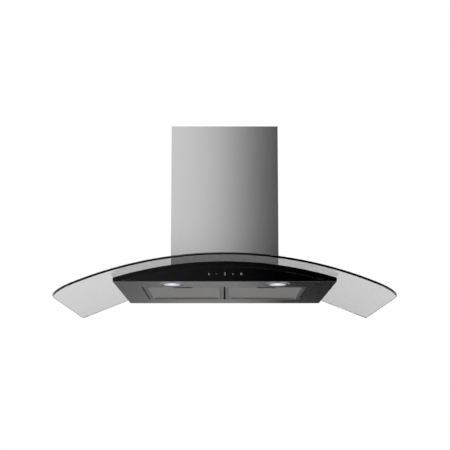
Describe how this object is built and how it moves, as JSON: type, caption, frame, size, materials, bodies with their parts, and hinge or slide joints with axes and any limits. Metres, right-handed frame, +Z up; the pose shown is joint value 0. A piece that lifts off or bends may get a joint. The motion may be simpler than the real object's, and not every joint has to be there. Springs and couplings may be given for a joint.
{
  "type": "curved glass range hood",
  "caption": "Wall-hung range hood with a bent glass canopy, black glass touch front, steel chimney cover, round lamps and hinged grease filters.",
  "frame": {"origin": "middle of the wall bracket's four screw holes, on the wall", "axes": "+X to the right as seen from the front, +Y into the wall, +Z up"},
  "size_m": [0.8994, 0.5, 0.5249],
  "materials": {
    "clear_glass": "toughened clear float glass, polished edges",
    "frosted_glass": "frosted lens glass",
    "black_glass": "glass painted black on its back",
    "brushed_steel": "stainless sheet with a fine brushed grain",
    "bright_steel": "satin plated ring",
    "galvanised_steel": "galvanised sheet",
    "screw_steel": "zinc plated",
    "spring_steel": "drawn wire and strip",
    "black_rubber": "moulded, matte",
    "foam_tape": "closed-cell foam",
    "black_plastic": "moulded, fine texture",
    "grey_plastic": "moulded, fine texture",
    "white_plastic": "moulded",
    "circuit_board": "glass-fibre laminate with green coat",
    "lead_sheath": "extruded sheath",
    "aluminium": "rolled strip, satin",
    "aluminium_mesh": "expanded mesh layers",
    "motor_paint": "black stove enamel",
    "motor_iron": "stacked laminations",
    "ground_steel": "ground"
  },
  "bodies": {
    "hood": {"canopy_glass": "clear_glass", "glass_seal": "black_rubber", "glass_bushes": "black_rubber", "glass_screws": "screw_steel", "glass_nuts": "screw_steel", "body_shell": "brushed_steel", "top_panel": "galvanised_steel", "front_panel": "black_glass", "panel_tape": "foam_tape", "control_housing": "black_plastic", "control_board": "circuit_board", "touch_springs": "spring_steel", "display_module": "white_plastic", "lamp_lenses": "frosted_glass", "lamp_bezel_left": "bright_steel", "lamp_bezel_right": "bright_steel", "lamp_cans": "aluminium", "lamp_clips": "spring_steel", "lamp_driver": "white_plastic", "blower_box": "galvanised_steel", "wall_bracket": "galvanised_steel", "panel_screws": "screw_steel", "scroll_half_left": "black_plastic", "scroll_half_right": "black_plastic", "scroll_feet": "black_plastic", "inlet_guard": "black_plastic", "motor_case": "motor_paint", "motor_stator": "motor_iron", "motor_bearings": "ground_steel", "motor_bracket": "galvanised_steel", "motor_grommets": "black_rubber", "small_screws": "screw_steel", "outlet_adapter": "black_plastic", "outlet_collar": "black_plastic", "damper_pin": "screw_steel", "terminal_box": "grey_plastic", "terminal_lid": "grey_plastic", "run_capacitor": "white_plastic", "cable_gland": "black_plastic", "control_lead": "lead_sheath", "chimney_cover": "brushed_steel", "chimney_brackets": "galvanised_steel"},
    "fan": {"motor_shaft": "ground_steel", "motor_rotor": "motor_iron", "impeller": "black_plastic", "impeller_nut": "screw_steel"},
    "front_damper": {"damper_flap_front": "black_plastic"},
    "rear_damper": {"damper_flap_rear": "black_plastic"},
    "left_filter": {"filter_frame_left": "aluminium", "filter_mesh_left": "aluminium_mesh", "latch_cup_left": "grey_plastic", "latch_springs_left": "spring_steel"},
    "right_filter": {"filter_frame_right": "aluminium", "filter_mesh_right": "aluminium_mesh", "latch_cup_right": "grey_plastic", "latch_springs_right": "spring_steel"},
    "left_latch": {"latch_left": "grey_plastic"},
    "right_latch": {"latch_right": "grey_plastic"},
    "upper_chimney": {"chimney_inner": "brushed_steel", "ceiling_bracket": "galvanised_steel"}
  },
  "joints": [
    {"name": "fan_spin", "type": "hinge", "parent": "hood", "child": "fan", "pos_m": [0, -0.131, -0.1], "axis": [1, 0, 0], "continuous": true},
    {"name": "front_damper_swing", "type": "hinge", "parent": "hood", "child": "front_damper", "pos_m": [0, -0.165, 0.065], "axis": [-1, 0, 0], "range_deg": [0, 80]},
    {"name": "rear_damper_swing", "type": "hinge", "parent": "hood", "child": "rear_damper", "pos_m": [0, -0.165, 0.065], "axis": [1, 0, 0], "range_deg": [0, 80]},
    {"name": "left_filter_swing", "type": "hinge", "parent": "hood", "child": "left_filter", "pos_m": [-0.1155, -0.08, -0.28885], "axis": [1, 0, 0], "range_deg": [0, 60]},
    {"name": "right_filter_swing", "type": "hinge", "parent": "hood", "child": "right_filter", "pos_m": [0.1155, -0.08, -0.28885], "axis": [1, 0, 0], "range_deg": [0, 60]},
    {"name": "left_latch_slide", "type": "slide", "parent": "left_filter", "child": "left_latch", "axis": [0, 1, 0], "range_m": [0, 0.006], "stiffness_N_per_m": 400, "springref_m": -0.004, "deforming": ["latch_springs_left"]},
    {"name": "right_latch_slide", "type": "slide", "parent": "right_filter", "child": "right_latch", "axis": [0, 1, 0], "range_m": [0, 0.006], "stiffness_N_per_m": 400, "springref_m": -0.004, "deforming": ["latch_springs_right"]},
    {"name": "chimney_raise", "type": "slide", "parent": "hood", "child": "upper_chimney", "axis": [0, 0, 1], "range_m": [0, 0.3]}
  ]
}
